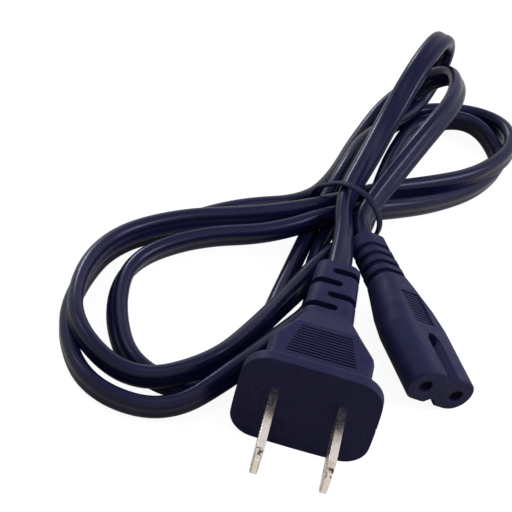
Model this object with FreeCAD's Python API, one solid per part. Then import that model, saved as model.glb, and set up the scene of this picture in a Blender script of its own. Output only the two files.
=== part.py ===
import FreeCAD, Part
import math
import os
from FreeCAD import Placement, Rotation, Vector

# Power lead: a two-blade plug, a flat two-core cord hanked in a figure eight,
# and a figure-eight connector. Millimetres. The origin is the centre of the
# plug's mating face, the blades point along -Y and +Z is up.

# Plug overmould: sizes across X are widths, across Z heights, along Y lengths
FLANGE_WIDTH = 26.5
FLANGE_HEIGHT = 19.9
FLANGE_LENGTH = 3.0
FLANGE_BOW = 0.4
FLANGE_CORNER = 5.2
FLANGE_REAR_ROUND = 1.0
PLUG_BODY_WIDTH = 19.7
PLUG_BODY_HEIGHT = 19.0
PLUG_BODY_EDGE = 1.6
PLUG_BODY_STRAIGHT = 4.4
PLUG_EASE_WIDTH = 19.2
PLUG_EASE_LENGTH = 1.2
PLUG_SHOULDER_WIDTH = 13.7
PLUG_SHOULDER_LENGTH = 4.3
PLUG_SLOPE_LENGTH = 10.7
PLUG_RELIEF_BASE_WIDTH = 10.3
PLUG_RELIEF_BASE_HEIGHT = 8.2
PLUG_RELIEF_WIDTH = 8.9
PLUG_RELIEF_HEIGHT = 6.9
PLUG_RELIEF_EDGE = 2.3
PLUG_RELIEF_LENGTH = 17.7
RELIEF_END_CHAMFER = 0.7
FLANGE_NOTCH_DEPTH = 0.35
FLANGE_NOTCH_HEIGHT = 0.9

# Plug grip ribs, cut in the top and the bottom of the body
GRIP_FIRST = 0.9
GRIP_PITCH = 0.74
GRIP_COUNT = 11
GRIP_GROOVE = 0.34
GRIP_DEPTH = 0.45
GRIP_FRONT_WIDTH = 13.2
GRIP_REAR_WIDTH = 9.8

# Plug strain relief slots, cut in turn from the left and from the right
SLOT_FIRST = 2.2
SLOT_PITCH = 3.95
SLOT_COUNT = 4
SLOT_WIDTH = 1.75
SLOT_PAST_CENTRE = 1.3
SLEEVE_WALL = 0.7

# Blades
BLADE_SPACING = 12.7
BLADE_WIDTH = 6.35
BLADE_THICKNESS = 1.5
BLADE_LENGTH = 17.3
BLADE_TIP_CHAMFER = 1.4
BLADE_TIP_THICKNESS = 0.9
BLADE_TAPER_LENGTH = 2.4
BLADE_HOLE_RADIUS = 1.55
BLADE_HOLE_FROM_FACE = 11.9
BLADE_ROOT_DEPTH = 4.8
BLADE_NECK_WIDTH = 2.4
BARREL_LENGTH = 3.6
BARREL_WALL = 0.75

# Bridge that holds the two blades inside the plug
BRIDGE_WIDTH = 17.6
BRIDGE_HEIGHT = 9.2
BRIDGE_EDGE = 1.0
BRIDGE_FROM_FACE = 1.2
BRIDGE_LENGTH = 3.2

# Cord and its two cores
CORE_RADIUS = 0.95
CORE_GAP = 0.1
CONDUCTOR_RADIUS = 0.55
CORD_THICKNESS = 2.9
CORD_RADIUS = 2.0
CORD_CORNER_SHARE = 0.45
CORE_BEND_RADIUS = 5.0
PLUG_CORE_STRAIGHT = 1.4
CONNECTOR_CORE_STRAIGHT = 1.6

# Figure-eight connector, in its own frame: mating face at Y = 0, tail at +Y
PIN_SPACING = 8.6
LOBE_RADIUS = 3.9
WAIST_HALF_HEIGHT = 2.4
FACE_CHAMFER = 0.3
OVAL_EASE = 0.3
LOBES_LENGTH = 14.5
WAIST_GROOVE_LENGTH = 10.6
WAIST_GROOVE_WIDTH = 3.6
WAIST_FLOOR_WIDTH = 0.9
WAIST_POCKET_RADIUS = 1.25
WAIST_POCKET_POINT = 1.9
WAIST_POCKET_DEPTH = 0.9
SHOULDER_WIDTH = 14.2
SHOULDER_AT = 19.5
TAPER_WIDTH = 10.6
TAPER_HEIGHT = 7.4
TAPER_AT = 26.0
TAIL_WIDTH = 9.4
TAIL_HEIGHT = 6.8
TAIL_AT = 28.6
CONNECTOR_RELIEF_LENGTH = 12.1
CONNECTOR_LENGTH = TAIL_AT + CONNECTOR_RELIEF_LENGTH
RING_NECK_WIDTH = 7.2
RING_NECK_HEIGHT = 4.9
RING_COUNT = 3
RING_LENGTH = 1.3
RING_GAP = 1.3
RING_TAPER = 0.2
THUMB_PANEL_WIDTH = 5.2
THUMB_PANEL_FROM = 14.5
THUMB_PANEL_LENGTH = 8.8
THUMB_PANEL_DEPTH = 0.3
THUMB_RIB_PITCH = 0.8
THUMB_RIB_GROOVE = 0.38
THUMB_RIB_DEPTH = 0.35

# Contacts and their carrier inside the connector
SOCKET_RADIUS = 1.25
SOCKET_WALL = 0.45
SOCKET_FROM_FACE = 1.5
SOCKET_DEPTH = 12.5
SOCKET_MOUTH_RADIUS = 1.45
CONTACT_NECK = 2.2
STRAND_INSET = 0.6
CARRIER_WIDTH = 13.8
CARRIER_HEIGHT = 4.6
CARRIER_LENGTH = 7.0

# Where the connector lies beside the plug, and how it is turned
CONNECTOR_ASIDE = 24.6
CONNECTOR_BEHIND = 20.3
CONNECTOR_DROP = 4.15
CONNECTOR_AT = Vector(CONNECTOR_ASIDE, CONNECTOR_BEHIND, -CONNECTOR_DROP)
CONNECTOR_YAW = 29.6
CONNECTOR_PITCH = 3.7
CONNECTOR_ROLL = 25.8

# Course of the cord after its straight run out of the plug: x, y and height above
# the surface that the lead lies on. It rises over the bundle, folds back at the top,
# runs down to the left loops, crosses under the plug's side to the right loops, and
# comes back through both loops once more before the last fold and the connector.
PLUG_EXIT_RUN = 8.7
CONNECTOR_EXIT_RUN = 5.5
CORD_COURSE = [
    (-3.5, 62, 12), (0.5, 76, 14.5), (3, 90.5, 17), (5.5, 104, 24), (10.5, 118, 26), (15, 123.5, 16),
    (12.5, 118, 5.5), (4.5, 107.5, 6.5), (-1, 93.5, 7.5), (-3, 78.5, 7), (-6.5, 66.5, 3),
    (-8.5, 51, 2), (-11, 35.5, 2), (-12.5, 20, 3), (-19, 4.5, 2), (-33, 5, 3.5), (-40, 19.5, 4),
    (-41, 36, 3.5), (-28.5, 46, 6.5), (-14, 51, 6), (-3, 64, 7.5), (9.5, 73, 7), (19, 83, 3.5),
    (27.5, 95, 2.5), (32.5, 108.5, 2), (22.5, 117.5, 5.5), (10, 112, 2.5), (7, 96.5, 2.5),
    (4, 80, 3.5), (3.5, 65.5, 2.5), (-3, 53, 7.5), (-6.5, 39, 4.5), (-13, 23, 8), (-19, 8, 8.5),
    (-32, -0.5, 6), (-45.5, 8, 6.5), (-48, 23.5, 6.5), (-44, 38.5, 6), (-34, 50.5, 6.5),
    (-20, 57.5, 6), (-7, 65.5, 8.5), (3.5, 75, 7.5), (14, 85, 6.5), (24.5, 94.5, 7),
    (34, 107, 6.5), (31, 123, 5), (15, 124.5, 2.5), (4.5, 111.5, 2), (2, 96, 2.5), (0, 81, 3),
    (-2, 66, 2.5), (-4, 53, 2), (-2, 38, 2), (-8.5, 23, 5), (-14, 8, 7), (-24, -4, 4),
    (-40.5, -2, 2.5), (-49, 11.5, 2.5), (-49, 27.5, 2), (-44.5, 42, 2.5), (-33.5, 53, 2),
    (-23, 63.5, 4), (-10, 71, 4), (-3.5, 83.5, 2), (-3, 101, 2.5), (3.5, 117.5, 4.5),
    (14.5, 118.5, 16.5), (17, 103, 20), (10, 83, 18.5), (3, 69, 12.5),
]

# Band that ties the bundle, in an upright plane: distance along the plane and height
TIE_BEHIND = 70.0
TIE_TURN = -30.0
TIE_CORNERS = [(-12, 0.6), (6.2, 0.6), (6.2, 14), (-2, 16.3), (-12, 4.2)]
TIE_CORNER_RADIUS = 1.9
TIE_THICKNESS = 0.5
TIE_WIDTH = 1.3

# How far a cutting shape or a joined piece reaches past the face it meets
PAST = 1.0
# How much a rounded end stays short of a half circle, so that its outline keeps a flat
SHY = 0.1

AXIS_Y = Vector(0, 1, 0)
AXIS_Z = Vector(0, 0, 1)
SIDES = {"left": -1, "right": 1}


def rounded_outline(width, height, radius, y):
    """Closed rounded rectangle about the Y axis in the plane at y."""
    half_x = width / 2
    half_z = height / 2
    diagonal = radius * math.sqrt(0.5)
    edges = []
    centres = ((1, 1), (-1, 1), (-1, -1), (1, -1))
    for index, (sx, sz) in enumerate(centres):
        centre = Vector(sx * (half_x - radius), y, sz * (half_z - radius))
        on_side = centre + Vector(sx * radius, 0, 0)
        on_top = centre + Vector(0, 0, sz * radius)
        middle = centre + Vector(sx * diagonal, 0, sz * diagonal)
        first, last = (on_side, on_top) if sx * sz > 0 else (on_top, on_side)
        edges.append(Part.Arc(first, middle, last).toShape())
        next_sx, next_sz = centres[(index + 1) % 4]
        next_centre = Vector(next_sx * (half_x - radius), y, next_sz * (half_z - radius))
        along = Vector(0, 0, next_sz * radius) if next_sz == sz else Vector(next_sx * radius, 0, 0)
        edges.append(Part.LineSegment(last, next_centre + along).toShape())
    return Part.Wire(edges)


def ruled_solid(sections):
    """Solid through rounded outlines, each given as width, height, radius, y."""
    wires = [rounded_outline(*section) for section in sections]
    return Part.makeLoft(wires, True, True)


def block(width, length, height, x, y, z):
    """Box centred on x and z that starts at y."""
    corner = Vector(x - width / 2, y, z - height / 2)
    return Part.makeBox(width, length, height, corner)


def rod(radius, length, x, y, z=0.0):
    """Cylinder along +Y that starts at y."""
    return Part.makeCylinder(radius, length, Vector(x, y, z), AXIS_Y)


def polygon_prism(points, direction):
    """Prism on a closed polygon of vectors, extruded along a vector."""
    return Part.Face(Part.makePolygon(points + [points[0]])).extrude(direction)


def bend_at(before, corner, after, radius):
    """Radius and reach of the arc at a corner, as wide as the runs allow where no radius is given."""
    back = before - corner
    ahead = after - corner
    slope = math.tan((math.pi - back.getAngle(ahead)) / 2)
    if radius is None:
        reach = CORD_CORNER_SHARE * min(back.Length, ahead.Length)
        return reach / slope, reach
    return radius, radius * slope


def smooth_path(points, radius=None):
    """Straight runs joined by a tangent arc at each inner point."""
    edges = []
    start = points[0]
    for before, corner, after in zip(points, points[1:], points[2:]):
        bend, reach = bend_at(before, corner, after, radius)
        back = (before - corner).normalize()
        ahead = (after - corner).normalize()
        first = corner + back * reach
        last = corner + ahead * reach
        inward = (back + ahead).normalize()
        middle = corner + inward * (math.hypot(bend, reach) - bend)
        edges.append(Part.LineSegment(start, first).toShape())
        edges.append(Part.Arc(first, middle, last).toShape())
        start = last
    edges.append(Part.LineSegment(start, points[-1]).toShape())
    return Part.Wire(edges)


def round_sweep(path, radius):
    """Round bar along a wire of straight runs and tangent arcs."""
    start = path.OrderedEdges[0]
    heading = start.tangentAt(start.FirstParameter)
    circle = Part.Circle(start.valueAt(start.FirstParameter), heading, radius)
    profile = Part.Wire(circle.toShape())
    return path.makePipeShell([profile], True, False)


# Plug

FLANGE_REAR = FLANGE_LENGTH
PLUG_STRAIGHT_END = FLANGE_REAR + PLUG_BODY_STRAIGHT
PLUG_EASE_END = PLUG_STRAIGHT_END + PLUG_EASE_LENGTH
PLUG_SHOULDER = PLUG_EASE_END + PLUG_SHOULDER_LENGTH
PLUG_RELIEF_START = PLUG_SHOULDER + PLUG_SLOPE_LENGTH
PLUG_END = PLUG_RELIEF_START + PLUG_RELIEF_LENGTH
FLOOR = -FLANGE_HEIGHT / 2
CORE_OFFSET = CORE_RADIUS + CORE_GAP / 2
BARREL_RADIUS = CONDUCTOR_RADIUS + BARREL_WALL
BARREL_START = BLADE_ROOT_DEPTH + BLADE_NECK_WIDTH / 2
BARREL_END = BARREL_START + BARREL_LENGTH


def plug_flange():
    """Oval guard plate with bowed sides and a rounded rear rim."""
    half_x = FLANGE_WIDTH / 2
    half_z = FLANGE_HEIGHT / 2
    corner_x = half_x - FLANGE_BOW
    corner_z = half_z - FLANGE_BOW
    corners = [Vector(sx * corner_x, 0, sz * corner_z) for sx, sz in ((1, 1), (-1, 1), (-1, -1), (1, -1))]
    middles = [Vector(0, 0, half_z), Vector(-half_x, 0, 0), Vector(0, 0, -half_z), Vector(half_x, 0, 0)]
    edges = [
        Part.Arc(corners[i], middles[i], corners[(i + 1) % 4]).toShape()
        for i in range(4)
    ]
    plate = Part.Face(Part.Wire(edges)).extrude(Vector(0, FLANGE_LENGTH, 0))
    long_edges = [
        edge for edge in plate.Edges
        if abs(edge.Vertexes[0].Point.y - edge.Vertexes[-1].Point.y) > FLANGE_LENGTH / 2
    ]
    plate = plate.makeFillet(FLANGE_CORNER, long_edges)
    rear_rim = [
        edge for edge in plate.Edges
        if all(abs(vertex.Point.y - FLANGE_LENGTH) < 0.001 for vertex in edge.Vertexes)
    ]
    plate = plate.makeFillet(FLANGE_REAR_ROUND, rear_rim)
    for side in (-1, 1):
        bottom = side * (half_x - FLANGE_NOTCH_DEPTH)
        mouth = side * (half_x + FLANGE_NOTCH_DEPTH)
        notch = polygon_prism(
            [Vector(bottom, -PAST, 0), Vector(mouth, -PAST, FLANGE_NOTCH_HEIGHT),
             Vector(mouth, -PAST, -FLANGE_NOTCH_HEIGHT)],
            Vector(0, FLANGE_LENGTH + 2 * PAST, 0),
        )
        plate = plate.cut(notch)
    return plate


def plug_outer():
    """Body that narrows to the shoulder, slopes down and runs into the relief."""
    flange = plug_flange()
    body = ruled_solid([
        (PLUG_BODY_WIDTH, PLUG_BODY_HEIGHT, PLUG_BODY_EDGE, FLANGE_LENGTH / 2),
        (PLUG_BODY_WIDTH, PLUG_BODY_HEIGHT, PLUG_BODY_EDGE, PLUG_STRAIGHT_END),
        (PLUG_EASE_WIDTH, PLUG_BODY_HEIGHT, PLUG_BODY_EDGE, PLUG_EASE_END),
        (PLUG_SHOULDER_WIDTH, PLUG_BODY_HEIGHT, PLUG_BODY_EDGE, PLUG_SHOULDER),
        (PLUG_RELIEF_BASE_WIDTH, PLUG_RELIEF_BASE_HEIGHT, PLUG_RELIEF_EDGE, PLUG_RELIEF_START),
        (PLUG_RELIEF_WIDTH, PLUG_RELIEF_HEIGHT, PLUG_RELIEF_EDGE, PLUG_END - RELIEF_END_CHAMFER),
        (PLUG_RELIEF_WIDTH - 2 * RELIEF_END_CHAMFER, PLUG_RELIEF_HEIGHT - 2 * RELIEF_END_CHAMFER,
         PLUG_RELIEF_EDGE - RELIEF_END_CHAMFER, PLUG_END),
    ])
    return flange.fuse(body)


def grip_grooves():
    """Fine cross grooves on a panel that narrows towards the rear, top and bottom."""
    grooves = []
    for index in range(GRIP_COUNT):
        share = index / (GRIP_COUNT - 1)
        width = GRIP_FRONT_WIDTH + share * (GRIP_REAR_WIDTH - GRIP_FRONT_WIDTH)
        y = FLANGE_REAR + GRIP_FIRST + index * GRIP_PITCH
        for side in (-1, 1):
            z = side * PLUG_BODY_HEIGHT / 2
            grooves.append(block(width, GRIP_GROOVE, 2 * GRIP_DEPTH, 0, y, z))
    return Part.makeCompound(grooves)


def relief_slots():
    """Round-ended slots through the relief's wall that leave the sleeve round the cord."""
    reach = PLUG_RELIEF_BASE_WIDTH
    height = 2 * PLUG_RELIEF_BASE_HEIGHT
    slots = []
    for index in range(SLOT_COUNT):
        side = -1 if index % 2 == 0 else 1
        y = PLUG_RELIEF_START + SLOT_FIRST + index * SLOT_PITCH
        end_x = -side * (SLOT_PAST_CENTRE - SLOT_WIDTH / 2)
        length = reach + abs(end_x)
        middle_x = end_x + side * length / 2
        slot = block(length, SLOT_WIDTH, height, middle_x, y - SLOT_WIDTH / 2, 0)
        rounded_end = Part.makeCylinder(SLOT_WIDTH / 2, height, Vector(end_x, y, -height / 2), AXIS_Z)
        slots.append(slot.fuse(rounded_end))
    sleeve_width = 4 * CORE_RADIUS + CORE_GAP + 2 * SLEEVE_WALL
    sleeve_height = CORD_THICKNESS + 2 * SLEEVE_WALL
    sleeve = ruled_solid([
        (sleeve_width, sleeve_height, sleeve_height / 2 - SHY, PLUG_RELIEF_START - PAST),
        (sleeve_width, sleeve_height, sleeve_height / 2 - SHY, PLUG_END + PAST),
    ])
    return Part.makeCompound([slot.cut(sleeve) for slot in slots])


def plug_core_path(side, start_y):
    """Course of a core from its crimp to the end of the relief."""
    spread = side * BLADE_SPACING / 2
    close = side * CORE_OFFSET
    points = [
        Vector(spread, start_y, 0),
        Vector(spread, BARREL_END + PLUG_CORE_STRAIGHT, 0),
        Vector(close, PLUG_RELIEF_START - PLUG_CORE_STRAIGHT, 0),
        Vector(close, PLUG_END, 0),
    ]
    return smooth_path(points, CORE_BEND_RADIUS)


def blade(side):
    """Flat blade with bevelled corners, a thinned tip, a hole and a crimp barrel on its root."""
    x = side * BLADE_SPACING / 2
    half = BLADE_WIDTH / 2
    chamfer = BLADE_TIP_CHAMFER
    neck = BLADE_NECK_WIDTH / 2
    outline = [(-BLADE_LENGTH, half - chamfer), (-BLADE_LENGTH + chamfer, half),
               (BLADE_ROOT_DEPTH - neck, half), (BLADE_ROOT_DEPTH, neck), (BARREL_START + neck, neck)]
    mirrored = [(y, -z) for y, z in reversed(outline)]
    points = [Vector(x - BLADE_THICKNESS / 2, y, z) for y, z in outline + mirrored]
    body = polygon_prism(points, Vector(BLADE_THICKNESS, 0, 0))
    for face in (-1, 1):
        tip_x = x + face * BLADE_TIP_THICKNESS / 2
        full_x = x + face * BLADE_THICKNESS / 2
        sliver = [Vector(tip_x, -BLADE_LENGTH, -half),
                  Vector(full_x, BLADE_TAPER_LENGTH - BLADE_LENGTH, -half),
                  Vector(full_x, -BLADE_LENGTH, -half)]
        body = body.cut(polygon_prism(sliver, Vector(0, 0, BLADE_WIDTH)))
    hole = Part.makeCylinder(BLADE_HOLE_RADIUS, 2 * BLADE_THICKNESS,
                             Vector(x - BLADE_THICKNESS, -BLADE_HOLE_FROM_FACE, 0), Vector(1, 0, 0))
    barrel = rod(BARREL_RADIUS, BARREL_LENGTH, x, BARREL_START)
    return body.cut(hole).fuse(barrel)


def plug_pieces():
    """All pieces of the plug, inner ones first, keyed by node name."""
    pieces = {}
    bridge = ruled_solid([
        (BRIDGE_WIDTH, BRIDGE_HEIGHT, BRIDGE_EDGE, BRIDGE_FROM_FACE),
        (BRIDGE_WIDTH, BRIDGE_HEIGHT, BRIDGE_EDGE, BRIDGE_FROM_FACE + BRIDGE_LENGTH),
    ])
    for name, side in SIDES.items():
        wire_start = BARREL_START + BLADE_NECK_WIDTH / 2
        conductor = round_sweep(plug_core_path(side, wire_start), CONDUCTOR_RADIUS)
        core = round_sweep(plug_core_path(side, BARREL_END), CORE_RADIUS).cut(conductor)
        metal = blade(side).cut(conductor)
        pieces["plug_blade_" + name] = metal
        pieces["plug_core_" + name] = core
        pieces["plug_conductor_" + name] = conductor
        bridge = bridge.cut(blade(side))
    pieces["plug_bridge"] = bridge
    overmould = plug_outer().cut(grip_grooves()).cut(relief_slots())
    for piece in pieces.values():
        overmould = overmould.cut(piece)
    pieces["plug_body"] = overmould
    return pieces


# Connector, built along its own axis and then laid beside the plug

SOCKET_END = SOCKET_FROM_FACE + SOCKET_DEPTH
CRIMP_START = SOCKET_END + CONTACT_NECK
CRIMP_END = CRIMP_START + BARREL_LENGTH
LOBE_EDGE = LOBE_RADIUS - SHY / 2


def connector_outer():
    """Lobed nose, tapering grip and the ringed strain relief."""
    width = PIN_SPACING + 2 * LOBE_RADIUS
    height = 2 * LOBE_RADIUS
    inset = 2 * FACE_CHAMFER
    oval = LOBE_EDGE - OVAL_EASE
    grip = ruled_solid([
        (width - inset, height - inset, LOBE_EDGE - FACE_CHAMFER, 0),
        (width, height, LOBE_EDGE, FACE_CHAMFER),
        (width, height, LOBE_EDGE, LOBES_LENGTH),
        (SHOULDER_WIDTH, height, oval, SHOULDER_AT),
        (TAPER_WIDTH, TAPER_HEIGHT, TAPER_HEIGHT / 2 - SHY, TAPER_AT),
        (TAIL_WIDTH, TAIL_HEIGHT, TAIL_HEIGHT / 2 - SHY, TAIL_AT),
    ])
    neck_edge = RING_NECK_HEIGHT / 2 - SHY
    neck = ruled_solid([
        (RING_NECK_WIDTH, RING_NECK_HEIGHT, neck_edge, TAIL_AT - PAST),
        (RING_NECK_WIDTH, RING_NECK_HEIGHT, neck_edge, CONNECTOR_LENGTH - RING_LENGTH / 2),
    ])
    solid = grip.fuse(neck)
    for index in range(RING_COUNT + 1):
        start = TAIL_AT + RING_GAP + index * (RING_LENGTH + RING_GAP)
        end = CONNECTOR_LENGTH if index == RING_COUNT else start + RING_LENGTH
        ring_width = TAIL_WIDTH - RING_TAPER * (index + 1)
        ring_height = TAIL_HEIGHT - RING_TAPER * (index + 1)
        ring = ruled_solid([
            (ring_width, ring_height, ring_height / 2 - SHY, start),
            (ring_width, ring_height, ring_height / 2 - SHY, end),
        ])
        solid = solid.fuse(ring)
    return solid


def waist_grooves():
    """V grooves that part the two lobes, each ending in a rounded pocket with a point."""
    cuts = []
    for side in (-1, 1):
        top = side * LOBE_RADIUS
        floor_z = side * WAIST_HALF_HEIGHT
        slope = (WAIST_GROOVE_WIDTH - WAIST_FLOOR_WIDTH) / 2 / (LOBE_RADIUS - WAIST_HALF_HEIGHT)
        over = side * (LOBE_RADIUS + PAST)
        half_over = WAIST_GROOVE_WIDTH / 2 + slope * PAST
        half_floor = WAIST_FLOOR_WIDTH / 2
        section = [Vector(-half_floor, -PAST, floor_z), Vector(half_floor, -PAST, floor_z),
                   Vector(half_over, -PAST, over), Vector(-half_over, -PAST, over)]
        cuts.append(polygon_prism(section, Vector(0, WAIST_GROOVE_LENGTH + PAST, 0)))
        bottom_z = side * (WAIST_HALF_HEIGHT - WAIST_POCKET_DEPTH)
        centre = Vector(0, WAIST_GROOVE_LENGTH, bottom_z)
        up = Vector(0, 0, top + side * PAST - bottom_z)
        cuts.append(Part.makeCylinder(WAIST_POCKET_RADIUS, up.Length, centre, up))
        arrow = [centre + Vector(-WAIST_POCKET_RADIUS, 0, 0), centre + Vector(WAIST_POCKET_RADIUS, 0, 0),
                 centre + Vector(0, -WAIST_POCKET_POINT, 0)]
        cuts.append(polygon_prism(arrow, up))
    return cuts


def thumb_panels():
    """Sunk panels with fine cross grooves, on the top and on the bottom."""
    cuts = []
    for side in (-1, 1):
        floor_z = LOBE_RADIUS - THUMB_PANEL_DEPTH
        cut_height = 2 * PAST
        middle_z = side * (floor_z + PAST)
        cuts.append(block(THUMB_PANEL_WIDTH, THUMB_PANEL_LENGTH, cut_height, 0, THUMB_PANEL_FROM, middle_z))
        count = int(THUMB_PANEL_LENGTH / THUMB_RIB_PITCH)
        for index in range(count):
            y = THUMB_PANEL_FROM + (index + 0.5) * THUMB_RIB_PITCH
            z = side * (floor_z - THUMB_RIB_DEPTH + PAST)
            cuts.append(block(THUMB_PANEL_WIDTH, THUMB_RIB_GROOVE, cut_height, 0, y, z))
    return Part.makeCompound(cuts)


def contact(side):
    """Rolled socket with a blind end, a neck and a crimp barrel."""
    x = side * PIN_SPACING / 2
    sleeve = rod(SOCKET_RADIUS + SOCKET_WALL, SOCKET_DEPTH + SOCKET_WALL, x, SOCKET_FROM_FACE)
    bore = rod(SOCKET_RADIUS, SOCKET_DEPTH + PAST, x, SOCKET_FROM_FACE - PAST)
    neck = block(BLADE_THICKNESS, CONTACT_NECK, BLADE_NECK_WIDTH, x, SOCKET_END + SOCKET_WALL / 2, 0)
    barrel = rod(BARREL_RADIUS, BARREL_LENGTH, x, CRIMP_START)
    return sleeve.cut(bore).fuse(neck).fuse(barrel)


def connector_core_path(side, start_y):
    """Course of a core from its crimp to the end of the ringed relief."""
    spread = side * PIN_SPACING / 2
    close = side * CORE_OFFSET
    points = [
        Vector(spread, start_y, 0),
        Vector(spread, CRIMP_END + CONNECTOR_CORE_STRAIGHT, 0),
        Vector(close, TAIL_AT + CONNECTOR_CORE_STRAIGHT, 0),
        Vector(close, CONNECTOR_LENGTH, 0),
    ]
    return smooth_path(points, CORE_BEND_RADIUS)


def connector_pieces():
    """All pieces of the connector in its own frame, keyed by node name."""
    pieces = {}
    carrier = ruled_solid([
        (CARRIER_WIDTH, CARRIER_HEIGHT, CARRIER_HEIGHT / 2 - SHY, SOCKET_FROM_FACE),
        (CARRIER_WIDTH, CARRIER_HEIGHT, CARRIER_HEIGHT / 2 - SHY, SOCKET_FROM_FACE + CARRIER_LENGTH),
    ])
    mouths = []
    for name, side in SIDES.items():
        x = side * PIN_SPACING / 2
        conductor = round_sweep(connector_core_path(side, CRIMP_START + STRAND_INSET), CONDUCTOR_RADIUS)
        core = round_sweep(connector_core_path(side, CRIMP_END), CORE_RADIUS).cut(conductor)
        pieces["connector_contact_" + name] = contact(side).cut(conductor)
        pieces["connector_core_" + name] = core
        pieces["connector_conductor_" + name] = conductor
        socket_space = rod(SOCKET_RADIUS + SOCKET_WALL, CARRIER_LENGTH + 2 * PAST, x, SOCKET_FROM_FACE - PAST)
        carrier = carrier.cut(socket_space)
        mouths.append(rod(SOCKET_MOUTH_RADIUS, SOCKET_FROM_FACE + PAST, x, -PAST))
        mouths.append(rod(SOCKET_RADIUS, SOCKET_END, x, 0))
    pieces["connector_carrier"] = carrier
    overmould = connector_outer().cut(thumb_panels())
    for mouth in mouths + waist_grooves():
        overmould = overmould.cut(mouth)
    for piece in pieces.values():
        overmould = overmould.cut(piece)
    pieces["connector_body"] = overmould
    return pieces


def connector_placement():
    """Turn about the connector's axis, then its pitch, then its yaw, then the shift."""
    roll = Rotation(AXIS_Y, CONNECTOR_ROLL)
    pitch = Rotation(Vector(1, 0, 0), CONNECTOR_PITCH)
    yaw = Rotation(AXIS_Z, CONNECTOR_YAW)
    return Placement(CONNECTOR_AT, yaw.multiply(pitch).multiply(roll))


# Cord and tie


def cord(placement):
    """Cord as a round tube of the flat cord's section area, from exit to exit."""
    surface = Vector(0, 0, FLOOR)
    start = Vector(0, PLUG_END, 0)
    points = [start, start + AXIS_Y * PLUG_EXIT_RUN]
    points += [Vector(*point) + surface for point in CORD_COURSE]
    points.append(placement.multVec(Vector(0, CONNECTOR_LENGTH + CONNECTOR_EXIT_RUN, 0)))
    points.append(placement.multVec(Vector(0, CONNECTOR_LENGTH, 0)))
    path = smooth_path(points)
    tube = round_sweep(path, CORD_RADIUS)
    bends = [bend_at(*corner, None)[0] for corner in zip(points, points[1:], points[2:])]
    print("cord length", round(path.Length, 1), "tightest bend", round(min(bends), 1))
    print("volume over section times length", tube.Volume / (math.pi * CORD_RADIUS ** 2 * path.Length))
    return tube


def tie():
    """Thin closed band round the crossing strands."""
    along = Rotation(AXIS_Z, TIE_TURN).multVec(Vector(1, 0, 0))
    across = AXIS_Z.cross(along)
    base = Vector(0, TIE_BEHIND, FLOOR) - across * (TIE_WIDTH / 2)
    corners = [base + along * reach + AXIS_Z * height for reach, height in TIE_CORNERS]
    middle = (corners[0] + corners[1]) / 2
    loop = smooth_path([middle] + corners[1:] + corners[:1] + [middle], TIE_CORNER_RADIUS)
    hole = Part.Face(loop)
    rim = hole.makeOffset2D(TIE_THICKNESS)
    return rim.cut(hole).extrude(across * TIE_WIDTH)


def save(name, shape):
    """Write one node as STEP."""
    shape.exportStep("parts/" + name + ".step")
    print(name, len(shape.Solids), "solid", round(shape.Volume, 2), "mm3", shape.isValid())


os.makedirs("parts", exist_ok=True)
nodes = plug_pieces()
placement = connector_placement()
for node_name, piece in connector_pieces().items():
    piece.Placement = placement.multiply(piece.Placement)
    nodes[node_name] = piece
nodes["cord"] = cord(placement)
nodes["tie"] = tie()
for node_name, piece in nodes.items():
    save(node_name, piece)
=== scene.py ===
import math

import bpy
import numpy as np
from mathutils import Matrix, Vector


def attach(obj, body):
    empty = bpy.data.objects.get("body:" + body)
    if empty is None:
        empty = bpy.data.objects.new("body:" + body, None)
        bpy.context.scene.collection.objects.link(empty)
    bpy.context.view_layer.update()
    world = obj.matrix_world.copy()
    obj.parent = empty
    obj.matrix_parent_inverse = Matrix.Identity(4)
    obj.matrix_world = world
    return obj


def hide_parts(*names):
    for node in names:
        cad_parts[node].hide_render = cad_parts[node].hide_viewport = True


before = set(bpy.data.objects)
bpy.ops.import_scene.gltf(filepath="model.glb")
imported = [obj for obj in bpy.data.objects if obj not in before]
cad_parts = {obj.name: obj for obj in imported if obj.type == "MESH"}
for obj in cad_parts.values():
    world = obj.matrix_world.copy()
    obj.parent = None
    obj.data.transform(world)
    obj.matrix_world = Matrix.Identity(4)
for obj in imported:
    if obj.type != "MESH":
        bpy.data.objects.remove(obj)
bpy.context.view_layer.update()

# Sizes in metres
MM = 0.001
FLOOR = -9.95 * MM

# Where the cord leaves the plug, and how the connector lies beside it
PLUG_END = Vector((0.0, 41.3, 0.0)) * MM
PLUG_EXIT_RUN = 11.5 * MM
CONNECTOR_AT = Vector((24.6, 20.3, -4.15)) * MM
CONNECTOR_TURN = (
    Matrix.Rotation(math.radians(29.6), 3, "Z")
    @ Matrix.Rotation(math.radians(3.7), 3, "X")
    @ Matrix.Rotation(math.radians(25.8), 3, "Y")
)
CONNECTOR_LENGTH = 40.7 * MM
CONNECTOR_EXIT_RUN = 5.5 * MM

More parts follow.
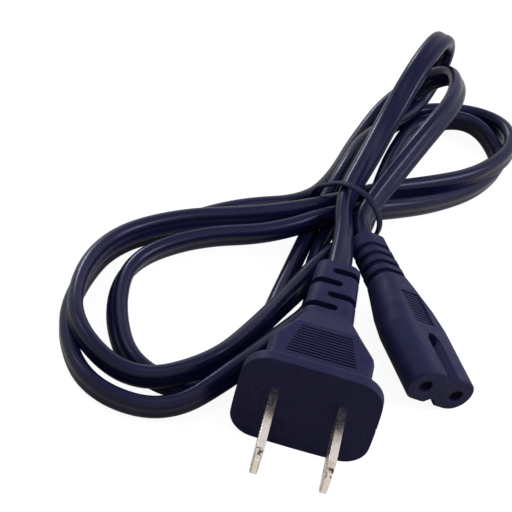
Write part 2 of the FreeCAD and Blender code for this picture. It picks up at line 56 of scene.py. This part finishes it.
# Course of the cord between its two straight ends, in millimetres: x, y and height above the
# floor. It rises over the bundle to the first fold, goes three times round the left loops and
# twice round the right ones, and comes back over the last fold to the connector.
CORD_COURSE = [
    (-2.5, 64, 11), (0.5, 77.5, 13.5), (3, 92, 16), (6.5, 106, 23), (10.5, 119.5, 24.5),
    (12.4, 124.5, 16), (9.8, 119.5, 6), (5.5, 106.5, 6.5), (-1.5, 93.5, 7), (-3.6, 80, 6.8),
    (-6.8, 67, 2.6), (-8.6, 51, 2.6), (-10.5, 34.5, 2.6), (-12, 19.5, 2.6), (-18.5, 4, 2.6),
    (-33, 5, 3.1), (-40, 19.5, 3.5), (-40.5, 34, 4.5), (-29.5, 45, 6.3), (-14.5, 53, 6.3),
    (-3.5, 64, 7.5), (9.5, 74, 5.8), (19, 84.5, 3.4), (27.2, 95.4, 2.6), (32, 108.5, 2.6),
    (22.5, 118.5, 5.5), (10, 113, 2.6), (6, 98, 2.6), (4.5, 80.5, 2.6), (3.5, 65, 2.6),
    (-1.5, 51.5, 6.9), (-7, 39.3, 4.8), (-12.5, 22.2, 6.8), (-19, 7.2, 7.3), (-32, -0.8, 5.3),
    (-45.5, 8, 6.5), (-48.5, 23, 6.5), (-44.9, 38, 6), (-33.6, 48.8, 6.5), (-19.5, 57, 6),
    (-7, 64.3, 7.3), (4, 75.5, 7.5), (14.4, 84.2, 6.3), (25.4, 93.4, 6.3), (32.8, 106.8, 6.5),
    (31, 116.7, 6), (23.4, 121.2, 4.5), (13, 120.2, 2.6), (4.5, 112, 2.6), (1.5, 96.5, 2.6),
    (0, 81, 2.6), (-3.2, 66, 2.6), (-5.6, 52, 2.6), (-2.5, 37.5, 2.6), (-8, 23.5, 5),
    (-14, 8.5, 7), (-24, -4, 3.1), (-39.5, -2.5, 2.6), (-47.9, 11.4, 2.6), (-48.2, 26.3, 2.6),
    (-44.8, 40.7, 2.6), (-34, 51.5, 2.6), (-23, 61.8, 3.5), (-9.8, 69.8, 3.1), (-5, 82.5, 2.6),
    (-2.1, 99, 2.6), (3.4, 115, 6.5), (14.5, 117, 17.5), (17, 102, 20.5), (11, 85, 18),
    (4, 68.5, 10.5),
]

# Section of the cord: two round lobes with a shallow groove between them
CORD_WIDTH = 5.1 * MM
CORD_LOBE = 1.48 * MM
CORD_GROOVE = 0.09 * MM
GROOVE_SHARPNESS = 1.6
LOBE_STEPS = 9
GROOVE_STEPS = 7

# How finely the line of the cord is drawn, and then taken at even steps
SPAN_STEPS = 14
SAMPLE_STEP = 1.2 * MM

# Camera, fitted to the plug and the connector in the photograph
CAM_AZIMUTH = 0.0105
CAM_ELEVATION = 0.6645
CAM_ROLL = 0.2713
CAM_FOCAL_PIXELS = 1800
CAM_PLACE = Vector((-13.6, -241.2, 220.0)) * MM
CAM_NEAR = 0.01
CAM_FAR = 10.0
SENSOR = 36.0
IMAGE_SIDE = 512


def camera_axes():
    """Right, up and back directions of the camera."""
    level = math.cos(CAM_ELEVATION)
    back = Vector((math.sin(CAM_AZIMUTH) * level, -math.cos(CAM_AZIMUTH) * level, math.sin(CAM_ELEVATION)))
    right = Vector((math.cos(CAM_AZIMUTH), math.sin(CAM_AZIMUTH), 0.0))
    up = back.cross(right)
    turned_right = math.cos(CAM_ROLL) * right + math.sin(CAM_ROLL) * up
    turned_up = -math.sin(CAM_ROLL) * right + math.cos(CAM_ROLL) * up
    return turned_right, turned_up, back


def make_camera():
    """Camera that sees the lead as the photograph does."""
    data = bpy.data.cameras.new("camera")
    data.sensor_width = SENSOR
    data.lens = CAM_FOCAL_PIXELS * SENSOR / IMAGE_SIDE
    data.clip_start = CAM_NEAR
    data.clip_end = CAM_FAR
    camera = bpy.data.objects.new("camera", data)
    right, up, back = camera_axes()
    camera.matrix_world = Matrix.Translation(CAM_PLACE) @ Matrix((right, up, back)).transposed().to_4x4()
    bpy.context.scene.collection.objects.link(camera)
    bpy.context.scene.camera = camera


# Materials: pairs of colours are clouded from the first to the second

BODY_COLOURS = ((0.0095, 0.012, 0.044), (0.017, 0.0145, 0.053))
JACKET_COLOURS = ((0.006, 0.0085, 0.033), (0.0115, 0.0095, 0.041))
TIE_COLOURS = ((0.009, 0.01, 0.03), (0.013, 0.013, 0.036))
NICKEL_COLOURS = ((0.87, 0.79, 0.72), (0.5, 0.37, 0.27))
NICKEL_WORN = (0.12, 0.07, 0.05)
BRASS = (0.71, 0.58, 0.3)
COPPER = (0.72, 0.43, 0.27)
BRIDGE_WHITE = (0.72, 0.7, 0.65)
CORE_BLACK = (0.02, 0.02, 0.04)
INNER_SHADE = 0.8

# The noise runs over this range in most places
NOISE_LOW = 0.3
NOISE_HIGH = 0.7

# Worn band across the bevels of the blades: its middle along the blade, and its reach
BLADE_WEAR_AT = -16.4 * MM
BLADE_WEAR_REACH = 0.75 * MM

# Rounding of crisp edges in the shading
BODY_EDGE = 0.22 * MM
BLADE_EDGE = 0.2 * MM
EDGE_SAMPLES = 6


def new_material(name, colour, roughness, metallic=0.0, specular=0.5):
    """Plain material and its shader."""
    material = bpy.data.materials.new(name)
    material.use_nodes = True
    shader = material.node_tree.nodes["Principled BSDF"]
    shader.inputs["Base Color"].default_value = (*colour, 1.0)
    shader.inputs["Roughness"].default_value = roughness
    shader.inputs["Metallic"].default_value = metallic
    shader.inputs["Specular IOR Level"].default_value = specular
    return material, shader


def noise(tree, scale, detail, coordinates="Object", stretch=(1, 1, 1)):
    """Noise value that is fixed to the object."""
    place = tree.nodes.new("ShaderNodeTexCoord")
    mapping = tree.nodes.new("ShaderNodeMapping")
    mapping.inputs["Scale"].default_value = stretch
    texture = tree.nodes.new("ShaderNodeTexNoise")
    texture.inputs["Scale"].default_value = scale
    texture.inputs["Detail"].default_value = detail
    tree.links.new(place.outputs[coordinates], mapping.inputs["Vector"])
    tree.links.new(mapping.outputs["Vector"], texture.inputs["Vector"])
    return texture.outputs["Fac"]


def ranged(tree, value, low, high, start=NOISE_LOW, end=NOISE_HIGH):
    """Value from start to end spread from low to high."""
    node = tree.nodes.new("ShaderNodeMapRange")
    node.inputs["From Min"].default_value = start
    node.inputs["From Max"].default_value = end
    node.inputs["To Min"].default_value = low
    node.inputs["To Max"].default_value = high
    tree.links.new(value, node.inputs["Value"])
    return node.outputs["Result"]


def calculated(tree, operation, first, second):
    """Result of one operation on two values."""
    node = tree.nodes.new("ShaderNodeMath")
    node.operation = operation
    tree.links.new(first, node.inputs[0])
    tree.links.new(second, node.inputs[1])
    return node.outputs["Value"]


def mixed_colour(tree, factor, first, second):
    """Mix of two colours."""
    node = tree.nodes.new("ShaderNodeMix")
    node.data_type = "RGBA"
    node.inputs["A"].default_value = (*first, 1.0)
    node.inputs["B"].default_value = (*second, 1.0)
    tree.links.new(factor, node.inputs["Factor"])
    return node.outputs["Result"]


def painted_over(tree, factor, under, colour):
    """One colour over what is under it."""
    node = tree.nodes.new("ShaderNodeMix")
    node.data_type = "RGBA"
    node.inputs["B"].default_value = (*colour, 1.0)
    tree.links.new(factor, node.inputs["Factor"])
    tree.links.new(under, node.inputs["A"])
    return node.outputs["Result"]


def bumped(tree, shader, height, distance, strength, edge=0.0):
    """Bump from a height; an edge radius rounds the crisp edges of the solid."""
    bump = tree.nodes.new("ShaderNodeBump")
    bump.inputs["Distance"].default_value = distance
    bump.inputs["Strength"].default_value = strength
    tree.links.new(height, bump.inputs["Height"])
    if edge > 0:
        bevel = tree.nodes.new("ShaderNodeBevel")
        bevel.samples = EDGE_SAMPLES
        bevel.inputs["Radius"].default_value = edge
        tree.links.new(bevel.outputs["Normal"], bump.inputs["Normal"])
    tree.links.new(bump.outputs["Normal"], shader.inputs["Normal"])


def moulded_plastic(name, dark, light):
    """Matt grained plastic with slight cloudiness."""
    material, shader = new_material(name, dark, roughness=0.5, specular=0.13)
    tree = material.node_tree
    cloud = ranged(tree, noise(tree, scale=260.0, detail=4.0), low=0.0, high=1.0)
    rough = ranged(tree, noise(tree, scale=900.0, detail=3.0), low=0.44, high=0.6)
    tree.links.new(mixed_colour(tree, cloud, dark, light), shader.inputs["Base Color"])
    tree.links.new(rough, shader.inputs["Roughness"])
    bumped(tree, shader, noise(tree, scale=5200.0, detail=2.0), 0.05 * MM, strength=0.7, edge=BODY_EDGE)
    return material


def satin_jacket(name, dark, light):
    """Satin jacket with faint drawing marks along the cord."""
    material, shader = new_material(name, dark, roughness=0.3, specular=0.17)
    tree = material.node_tree
    cloud = ranged(tree, noise(tree, scale=300.0, detail=3.0), low=0.0, high=1.0)
    marks = noise(tree, scale=1.0, detail=3.0, coordinates="UV", stretch=(30.0, 2600.0, 1.0))
    tree.links.new(mixed_colour(tree, cloud, dark, light), shader.inputs["Base Color"])
    tree.links.new(ranged(tree, marks, low=0.22, high=0.29), shader.inputs["Roughness"])
    bumped(tree, shader, noise(tree, scale=4200.0, detail=2.0), 0.03 * MM, strength=0.4)
    return material


def plated_metal(name, cream, brown, worn):
    """Nickel plate with brownish, mottled tarnish and worn bevels at the tips."""
    material, shader = new_material(name, cream, roughness=0.26, metallic=1.0)
    tree = material.node_tree
    patches = ranged(tree, noise(tree, scale=260.0, detail=3.0), low=-0.5, high=0.75)
    plate = mixed_colour(tree, patches, cream, brown)
    place = tree.nodes.new("ShaderNodeTexCoord")
    parts = tree.nodes.new("ShaderNodeSeparateXYZ")
    tree.links.new(place.outputs["Object"], parts.inputs["Vector"])
    near = tree.nodes.new("ShaderNodeMath")
    near.operation = "COMPARE"
    near.inputs[1].default_value = BLADE_WEAR_AT
    near.inputs[2].default_value = BLADE_WEAR_REACH
    tree.links.new(parts.outputs["Y"], near.inputs[0])
    spots = ranged(tree, noise(tree, scale=1400.0, detail=4.0), low=-1.2, high=1.8)
    speckle = calculated(tree, "MULTIPLY", near.outputs["Value"], spots)
    rough = ranged(tree, noise(tree, scale=1500.0, detail=3.0), low=0.22, high=0.34)
    tree.links.new(painted_over(tree, speckle, plate, worn), shader.inputs["Base Color"])
    tree.links.new(rough, shader.inputs["Roughness"])
    bumped(tree, shader, noise(tree, scale=2600.0, detail=2.0), 0.012 * MM, strength=0.3, edge=BLADE_EDGE)
    return material


def plain(name, colour, roughness, metallic=0.0):
    """Inner pieces: a quiet finish with slight colour variation."""
    material, shader = new_material(name, colour, roughness, metallic)
    tree = material.node_tree
    shade = tuple(INNER_SHADE * channel for channel in colour)
    cloud = ranged(tree, noise(tree, scale=500.0, detail=3.0), low=0.0, high=1.0)
    tree.links.new(mixed_colour(tree, cloud, colour, shade), shader.inputs["Base Color"])
    bumped(tree, shader, noise(tree, scale=3000.0, detail=2.0), 0.02 * MM, strength=0.4)
    return material


def paint_nodes():
    """Give every solid its material."""
    body = moulded_plastic("moulded_black", *BODY_COLOURS)
    nickel = plated_metal("nickel", *NICKEL_COLOURS, NICKEL_WORN)
    brass = plain("brass", BRASS, roughness=0.3, metallic=1.0)
    white = plain("bridge_white", BRIDGE_WHITE, roughness=0.5)
    core_black = plain("core_black", CORE_BLACK, roughness=0.4)
    copper = plain("copper", COPPER, roughness=0.3, metallic=1.0)
    finishes = {
        "plug_body": body,
        "connector_body": body,
        "plug_blade_left": nickel,
        "plug_blade_right": nickel,
        "connector_contact_left": brass,
        "connector_contact_right": brass,
        "plug_bridge": white,
        "connector_carrier": white,
        "plug_core_left": core_black,
        "plug_core_right": white,
        "connector_core_left": core_black,
        "connector_core_right": white,
        "plug_conductor_left": copper,
        "plug_conductor_right": copper,
        "connector_conductor_left": copper,
        "connector_conductor_right": copper,
    }
    for node, material in finishes.items():
        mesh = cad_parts[node].data
        mesh.materials.clear()
        mesh.materials.append(material)


# Cord


def route_points():
    """Control points of the cord, from the plug's exit to the connector's tail."""
    points = [PLUG_END, PLUG_END + Vector((0.0, PLUG_EXIT_RUN, 0.0))]
    points += [Vector((x * MM, y * MM, height * MM + FLOOR)) for x, y, height in CORD_COURSE]
    for reach in (CONNECTOR_LENGTH + CONNECTOR_EXIT_RUN, CONNECTOR_LENGTH):
        points.append(CONNECTOR_AT + CONNECTOR_TURN @ Vector((0.0, reach, 0.0)))
    return points


def spline_line(points):
    """Points along one NURBS spline with those control points."""
    curve = bpy.data.curves.new("route", "CURVE")
    curve.dimensions = "3D"
    spline = curve.splines.new("NURBS")
    spline.points.add(len(points) - 1)
    for control, point in zip(spline.points, points):
        control.co = (*point, 1.0)
    spline.order_u = 3
    spline.use_endpoint_u = True
    spline.resolution_u = SPAN_STEPS
    holder = bpy.data.objects.new("route", curve)
    bpy.context.scene.collection.objects.link(holder)
    bpy.context.view_layer.update()
    mesh = bpy.data.meshes.new_from_object(holder)
    line = np.array([vertex.co for vertex in mesh.vertices])
    bpy.data.objects.remove(holder)
    bpy.data.curves.remove(curve)
    bpy.data.meshes.remove(mesh)
    return line


def unit(rows):
    """The same directions at length 1."""
    return rows / np.linalg.norm(rows, axis=1)[:, None]


def distance_along(line):
    """Distance of each point from the first, along the line."""
    return np.concatenate([[0.0], np.cumsum(np.linalg.norm(np.diff(line, axis=0), axis=1))])


def evenly(line, step):
    """The same line at even steps."""
    along = distance_along(line)
    stations = np.linspace(0.0, along[-1], int(along[-1] / step) + 1)
    return np.column_stack([np.interp(stations, along, line[:, k]) for k in range(3)])


def untwisted_frame(line, first_side):
    """Tangents and a side direction carried along the line without twist."""
    tangents = unit(np.gradient(line, axis=0))
    sides = np.zeros_like(line)
    side = np.array(first_side, float)
    for i, tangent in enumerate(tangents):
        side = side - tangent * (side @ tangent)
        side /= np.linalg.norm(side)
        sides[i] = side
    return tangents, sides


# How the flat cord may turn about its line, and what each turn costs or is liked for. The
# section is the same turned by 180 degrees, so the turns run over a half circle.
TURN_STEP = 5
TURNS = np.radians(np.arange(0, 180, TURN_STEP))
TWIST_COST = 120.0
BEND_COST = 3000.0
FLOOR_COST = 6.0

# In the hank the cord stands on edge: from this far behind the plug to this short of the connector
EDGE_LIKING = 1.0
HANK_FROM = 110 * MM
HANK_SHORT_OF = 80 * MM

# One stretch leans over, as the photograph shows it
LEAN_LIKING = 7.0
LEAN_FROM = 226 * MM
LEAN_TO = 272 * MM
LEAN_WAY = (0.8, 0.0, 0.6)

# A strand that comes nearer than this many widths, further on than its own run, is in the way
CROWD_COST = 0.8
CROWD_WIDTHS = 1.15
OWN_RUN = 12 * MM

# Both ends lie as their strain reliefs hold them
END_LIKING = 40
END_RUN = 5 * MM

# Samples to each side over which the turns are smoothed
TURN_BLUR = 11


def within_quarter(angle):
    """The same turn of a two-fold section, between a quarter turn back and one ahead."""
    return (angle + math.pi / 2) % math.pi - math.pi / 2


def turn_costs(line, tangents, flats, last_side):
    """Cost of each turn at each sample: the cord bends over its thin way and keeps clear of
    the floor and of its neighbours."""
    bending = np.gradient(tangents, axis=0) * MM / SAMPLE_STEP
    cost = BEND_COST * np.einsum("iak,ik->ia", flats, bending) ** 2
    hank = slice(int(HANK_FROM / SAMPLE_STEP), -int(HANK_SHORT_OF / SAMPLE_STEP))
    cost[hank] -= EDGE_LIKING * flats[hank, :, 2] ** 2
    leaning = slice(int(LEAN_FROM / SAMPLE_STEP), int(LEAN_TO / SAMPLE_STEP))
    cost[leaning] -= LEAN_LIKING * (flats[leaning] @ np.array(LEAN_WAY)) ** 2
    normals = np.cross(tangents[:, None], flats)
    half = CORD_WIDTH / 2
    reach_down = np.sqrt((half * flats[:, :, 2]) ** 2 + (CORD_LOBE * normals[:, :, 2]) ** 2)
    below = np.clip(reach_down - (line[:, None, 2] - FLOOR), 0.0, None)
    cost += FLOOR_COST * below / MM
    apart = line[:, None] - line[None]
    index = np.arange(len(line))
    other = np.abs(index[:, None] - index[None]) * SAMPLE_STEP > OWN_RUN
    near = other & (np.linalg.norm(apart, axis=2) < CROWD_WIDTHS * CORD_WIDTH)
    for i in np.nonzero(near.any(axis=1))[0]:
        ways = unit(apart[i, near[i]])
        cost[i] += CROWD_COST * np.max((flats[i] @ ways.T) ** 4, axis=1)
    ends = int(END_RUN / SAMPLE_STEP)
    cost[:ends] -= END_LIKING * np.abs(flats[:ends] @ np.array((1.0, 0.0, 0.0)))
    cost[-ends:] -= END_LIKING * np.abs(flats[-ends:] @ np.array(last_side))
    return cost


def cheapest_turns(cost):
    """Turn at each sample on the cheapest way from end to end, with as little twist as that takes."""
    step = within_quarter(TURNS[:, None] - TURNS[None])
    change = TWIST_COST * (step / (SAMPLE_STEP / MM)) ** 2
    count = len(cost)
    total = cost[0]
    choice = np.zeros((count, len(TURNS)), int)
    for i in range(1, count):
        options = total[None] + change
        choice[i] = options.argmin(axis=1)
        total = options.min(axis=1) + cost[i]
    state = int(total.argmin())
    turn = np.zeros(count)
    for i in range(count - 1, -1, -1):
        turn[i] = TURNS[state]
        state = choice[i, state]
    for i in range(1, count):
        turn[i] = turn[i - 1] + within_quarter(turn[i] - turn[i - 1])
    return turn


def lie_of_flat(line, tangents, sides, last_side):
    """Direction of the cord's wide way at each sample."""
    binormals = np.cross(tangents, sides)
    flats = np.cos(TURNS)[None, :, None] * sides[:, None] + np.sin(TURNS)[None, :, None] * binormals[:, None]
    turn = cheapest_turns(turn_costs(line, tangents, flats, last_side))
    window = np.hanning(2 * TURN_BLUR + 1)
    turn = np.convolve(np.pad(turn, TURN_BLUR, mode="edge"), window / window.sum(), mode="valid")
    return np.cos(turn)[:, None] * sides + np.sin(turn)[:, None] * binormals


def two_lobed_outline():
    """Closed outline of the flat two-core cord: across and through."""
    centre = CORD_WIDTH / 2 - CORD_LOBE
    upper = [(centre + CORD_LOBE * math.cos(a), CORD_LOBE * math.sin(a))
             for a in np.linspace(-math.pi / 2, math.pi / 2, LOBE_STEPS)]
    for x in np.linspace(centre, -centre, GROOVE_STEPS + 2)[1:-1]:
        dip = CORD_GROOVE * (0.5 + 0.5 * math.cos(math.pi * x / centre)) ** GROOVE_SHARPNESS
        upper.append((x, CORD_LOBE - dip))
    return upper + [(-x, -z) for x, z in upper]


def swept(name, line, flats, outline, material, closed=False):
    """Tube of that outline along the line, with its length and girth as UV."""
    tangents = unit(np.gradient(line, axis=0))
    flats = unit(flats - tangents * np.sum(flats * tangents, axis=1)[:, None])
    normals = np.cross(flats, tangents)
    outline = np.array(outline)
    rings = line[:, None] + outline[None, :, :1] * flats[:, None] + outline[None, :, 1:] * normals[:, None]
    count, around = rings.shape[:2]
    faces = []
    for i in range(count - 1):
        for k in range(around):
            following = (k + 1) % around
            faces.append((i * around + k, i * around + following,
                          (i + 1) * around + following, (i + 1) * around + k))
    base = (count - 1) * around
    if closed:
        faces += [(base + k, base + (k + 1) % around, (k + 1) % around, k) for k in range(around)]
    else:
        faces.append(tuple(range(around))[::-1])
        faces.append(tuple(base + k for k in range(around)))
    mesh = bpy.data.meshes.new(name)
    mesh.from_pydata([tuple(p) for p in rings.reshape(-1, 3)], [], faces)
    layer = mesh.uv_layers.new(name="UVMap")
    run = distance_along(line)
    girth = distance_along(outline)
    for loop in mesh.loops:
        ring, k = divmod(loop.vertex_index, around)
        layer.data[loop.index].uv = (run[ring], girth[k])
    mesh.polygons.foreach_set("use_smooth", [True] * len(mesh.polygons))
    mesh.materials.append(material)
    mesh.validate()
    piece = bpy.data.objects.new(name, mesh)
    bpy.context.scene.collection.objects.link(piece)
    return piece


def make_cord(material):
    """Flat cord from the plug's strain relief to the connector's."""
    line = evenly(spline_line(route_points()), SAMPLE_STEP)
    tangents, sides = untwisted_frame(line, (1.0, 0.0, 0.0))
    flats = lie_of_flat(line, tangents, sides, CONNECTOR_TURN @ Vector((1.0, 0.0, 0.0)))
    piece = swept("cord_jacket", line, flats, two_lobed_outline(), material)
    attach(piece, "root")
    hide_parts("cord")


# Tie: corners in millimetres, as distance along its upright plane and height above the floor

TIE_AT = Vector((0.0, 64.0, 0.0)) * MM
TIE_TURN = math.radians(-30.0)
TIE_CORNERS = [(-10.3, 0.8), (5.9, 0.8), (7.6, 11.2), (3.3, 15.1), (-3.8, 14.6), (-10.3, 9.0)]
TIE_CORNER_REACH = 2.9
TIE_CORNER_STEPS = 9
TIE_HALF_WIDTH = 0.85 * MM
TIE_HALF_THICKNESS = 0.45 * MM
TIE_AROUND = 16


def tie_line():
    """Closed line of rounded corners in the tie's upright plane."""
    corners = np.array(TIE_CORNERS, float)
    flat = []
    for i, corner in enumerate(corners):
        back = corners[i - 1] - corner
        ahead = corners[(i + 1) % len(corners)] - corner
        start = corner + back / np.linalg.norm(back) * TIE_CORNER_REACH
        end = corner + ahead / np.linalg.norm(ahead) * TIE_CORNER_REACH
        for t in np.linspace(0.0, 1.0, TIE_CORNER_STEPS):
            flat.append((1 - t) ** 2 * start + 2 * t * (1 - t) * corner + t * t * end)
    along = Matrix.Rotation(TIE_TURN, 3, "Z") @ Vector((1.0, 0.0, 0.0))
    return [TIE_AT + along * (x * MM) + Vector((0.0, 0.0, z * MM + FLOOR)) for x, z in flat]


def make_tie(material):
    """Band round the strands at the crossing."""
    line = np.array([tuple(p) for p in tie_line()])
    across = Matrix.Rotation(TIE_TURN, 3, "Z") @ Vector((0.0, 1.0, 0.0))
    flats = np.repeat([tuple(across)], len(line), axis=0)
    outline = [(TIE_HALF_WIDTH * math.cos(a), TIE_HALF_THICKNESS * math.sin(a))
               for a in np.linspace(0, 2 * math.pi, TIE_AROUND, endpoint=False)]
    piece = swept("tie_band", line, flats, outline, material, closed=True)
    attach(piece, "root")
    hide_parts("tie")


# Stage: the floor is seen white, is pale in reflections and grey to all other light
FLOOR_REACH = 3.0
FLOOR_DROP = 0.05 * MM
FLOOR_GREY = (0.16, 0.16, 0.17)
FLOOR_ROUGHNESS = 0.9
FLOOR_GLOW = 0.93
FLOOR_PALE = (1.0, 0.92, 0.72)

# Sky that lights the lead, from the horizon to the top. In reflections it is white up to the
# first of the two heights and has its own colour from the second on.
SKY_HORIZON = (0.1, 0.1, 0.11)
SKY_TOP = (0.5, 0.51, 0.54)
WHITE_UP_TO = 0.62
SKY_FROM = 0.85

# Lamps: place, width and height, and power
LAMP_COLOUR = (0.7, 0.76, 1.0)
LAMP_TARGET = Vector((0.0, 0.05, 0.0))
LAMPS = {
    "lamp_left": ((-0.75, 0.2, 0.7), (0.3, 0.3), 1.2),
    "lamp_back": ((-0.52, 0.9, 0.46), (0.13, 0.26), 3.0),
    "lamp_right": ((0.8, 0.1, 0.6), (0.5, 0.3), 5.4),
    "lamp_top": ((0.1, -0.15, 1.0), (0.8, 0.8), 2.4),
}


def seen_rays(tree):
    """1 for what the camera sees itself, 0 for all other rays."""
    return tree.nodes.new("ShaderNodeLightPath").outputs["Is Camera Ray"]


def mirrored_rays(tree):
    """1 for rays that were reflected or let through, 0 for all other rays."""
    path = tree.nodes.new("ShaderNodeLightPath")
    return calculated(tree, "MAXIMUM", path.outputs["Is Glossy Ray"], path.outputs["Is Transmission Ray"])


def mixed_shader(tree, factor, first, second):
    """Mix of two shaders."""
    mix = tree.nodes.new("ShaderNodeMixShader")
    tree.links.new(factor, mix.inputs["Fac"])
    tree.links.new(first, mix.inputs[1])
    tree.links.new(second, mix.inputs[2])
    return mix.outputs["Shader"]


def make_floor():
    """Pale floor that is seen white and keeps a faint shadow of the lead."""
    mesh = bpy.data.meshes.new("floor")
    corners = [(x * FLOOR_REACH, y * FLOOR_REACH, 0) for x, y in ((-1, -1), (1, -1), (1, 1), (-1, 1))]
    mesh.from_pydata(corners, [], [(0, 1, 2, 3)])
    floor = bpy.data.objects.new("floor", mesh)
    floor.location = (0.0, 0.0, FLOOR - FLOOR_DROP)
    bpy.context.scene.collection.objects.link(floor)
    material, shader = new_material("floor", FLOOR_GREY, FLOOR_ROUGHNESS)
    tree = material.node_tree
    white = tree.nodes.new("ShaderNodeEmission")
    white.inputs["Strength"].default_value = FLOOR_GLOW
    lit = tree.nodes.new("ShaderNodeAddShader")
    tree.links.new(shader.outputs["BSDF"], lit.inputs[0])
    tree.links.new(white.outputs["Emission"], lit.inputs[1])
    pale = tree.nodes.new("ShaderNodeBsdfDiffuse")
    pale.inputs["Color"].default_value = (*FLOOR_PALE, 1.0)
    unseen = mixed_shader(tree, mirrored_rays(tree), shader.outputs["BSDF"], pale.outputs["BSDF"])
    seen = mixed_shader(tree, seen_rays(tree), unseen, lit.outputs["Shader"])
    tree.links.new(seen, tree.nodes["Material Output"].inputs["Surface"])
    mesh.materials.append(material)


def make_world():
    """White backdrop around a plain soft sky that lights the lead."""
    world = bpy.data.worlds.new("world")
    bpy.context.scene.world = world
    world.use_nodes = True
    tree = world.node_tree
    place = tree.nodes.new("ShaderNodeTexCoord")
    parts = tree.nodes.new("ShaderNodeSeparateXYZ")
    tree.links.new(place.outputs["Generated"], parts.inputs["Vector"])
    up = parts.outputs["Z"]
    ramp = tree.nodes.new("ShaderNodeValToRGB")
    for element, position, colour in zip(ramp.color_ramp.elements, (0.0, 1.0), (SKY_HORIZON, SKY_TOP)):
        element.position = position
        element.color = (*colour, 1.0)
    tree.links.new(up, ramp.inputs["Fac"])
    low = ranged(tree, up, low=1.0, high=0.0, start=WHITE_UP_TO, end=SKY_FROM)
    mirrored = calculated(tree, "MULTIPLY", mirrored_rays(tree), low)
    white = calculated(tree, "MAXIMUM", seen_rays(tree), mirrored)
    sky = painted_over(tree, white, ramp.outputs["Color"], (1.0, 1.0, 1.0))
    tree.links.new(sky, tree.nodes["Background"].inputs["Color"])


def make_lamp(name, place, size, power):
    """Soft rectangular lamp turned to the lead."""
    data = bpy.data.lights.new(name, "AREA")
    data.shape = "RECTANGLE"
    data.size, data.size_y = size
    data.energy = power
    data.color = LAMP_COLOUR
    lamp = bpy.data.objects.new(name, data)
    lamp.location = place
    way = Vector(place) - LAMP_TARGET
    lamp.rotation_euler = way.to_track_quat("Z", "Y").to_euler()
    bpy.context.scene.collection.objects.link(lamp)


make_camera()
paint_nodes()
make_cord(satin_jacket("cord_black", *JACKET_COLOURS))
make_tie(moulded_plastic("tie_black", *TIE_COLOURS))
make_floor()
make_world()
for lamp_name, lamp in LAMPS.items():
    make_lamp(lamp_name, *lamp)
bpy.context.scene.view_settings.view_transform = "Standard"
